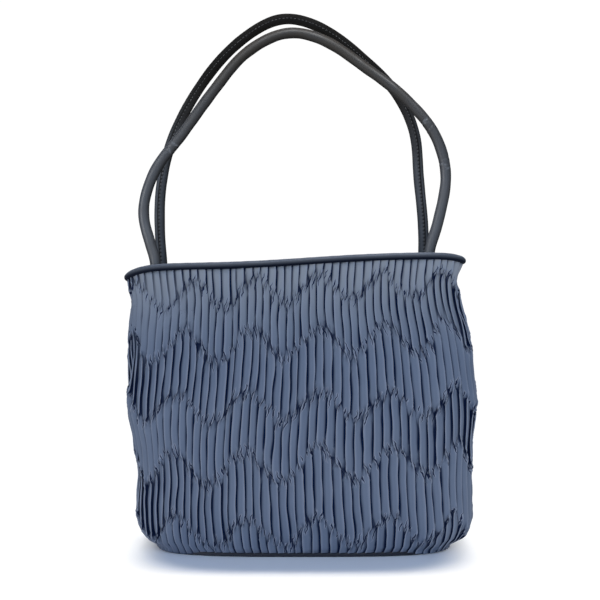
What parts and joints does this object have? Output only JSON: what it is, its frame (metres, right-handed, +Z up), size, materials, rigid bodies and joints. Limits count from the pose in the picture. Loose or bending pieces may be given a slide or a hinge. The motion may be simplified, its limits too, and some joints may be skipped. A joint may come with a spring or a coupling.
{
  "type": "handbag",
  "caption": "Small upright handbag with a soft body of wavy pleated nylon, an open piped mouth, a flat leather base and a pair of rolled carrying handles.",
  "frame": {"origin": "middle of the bag's bounding box at the bottom of the base", "axes": "+Z up, the front of the bag faces -Y, +X to the right seen from the front"},
  "size_m": [0.2808, 0.1144, 0.4248],
  "materials": {
    "nylon": "slate blue heat-set pleated nylon with a soft sheen",
    "leather": "charcoal navy smooth rolled leather, satin",
    "base_leather": "dark navy leather, matt"
  },
  "bodies": {
    "root": {"front_panel": "nylon", "back_panel": "nylon", "base_panel": "base_leather", "rim_piping": "leather", "front_handle": "leather", "back_handle": "leather"}
  },
  "joints": []
}
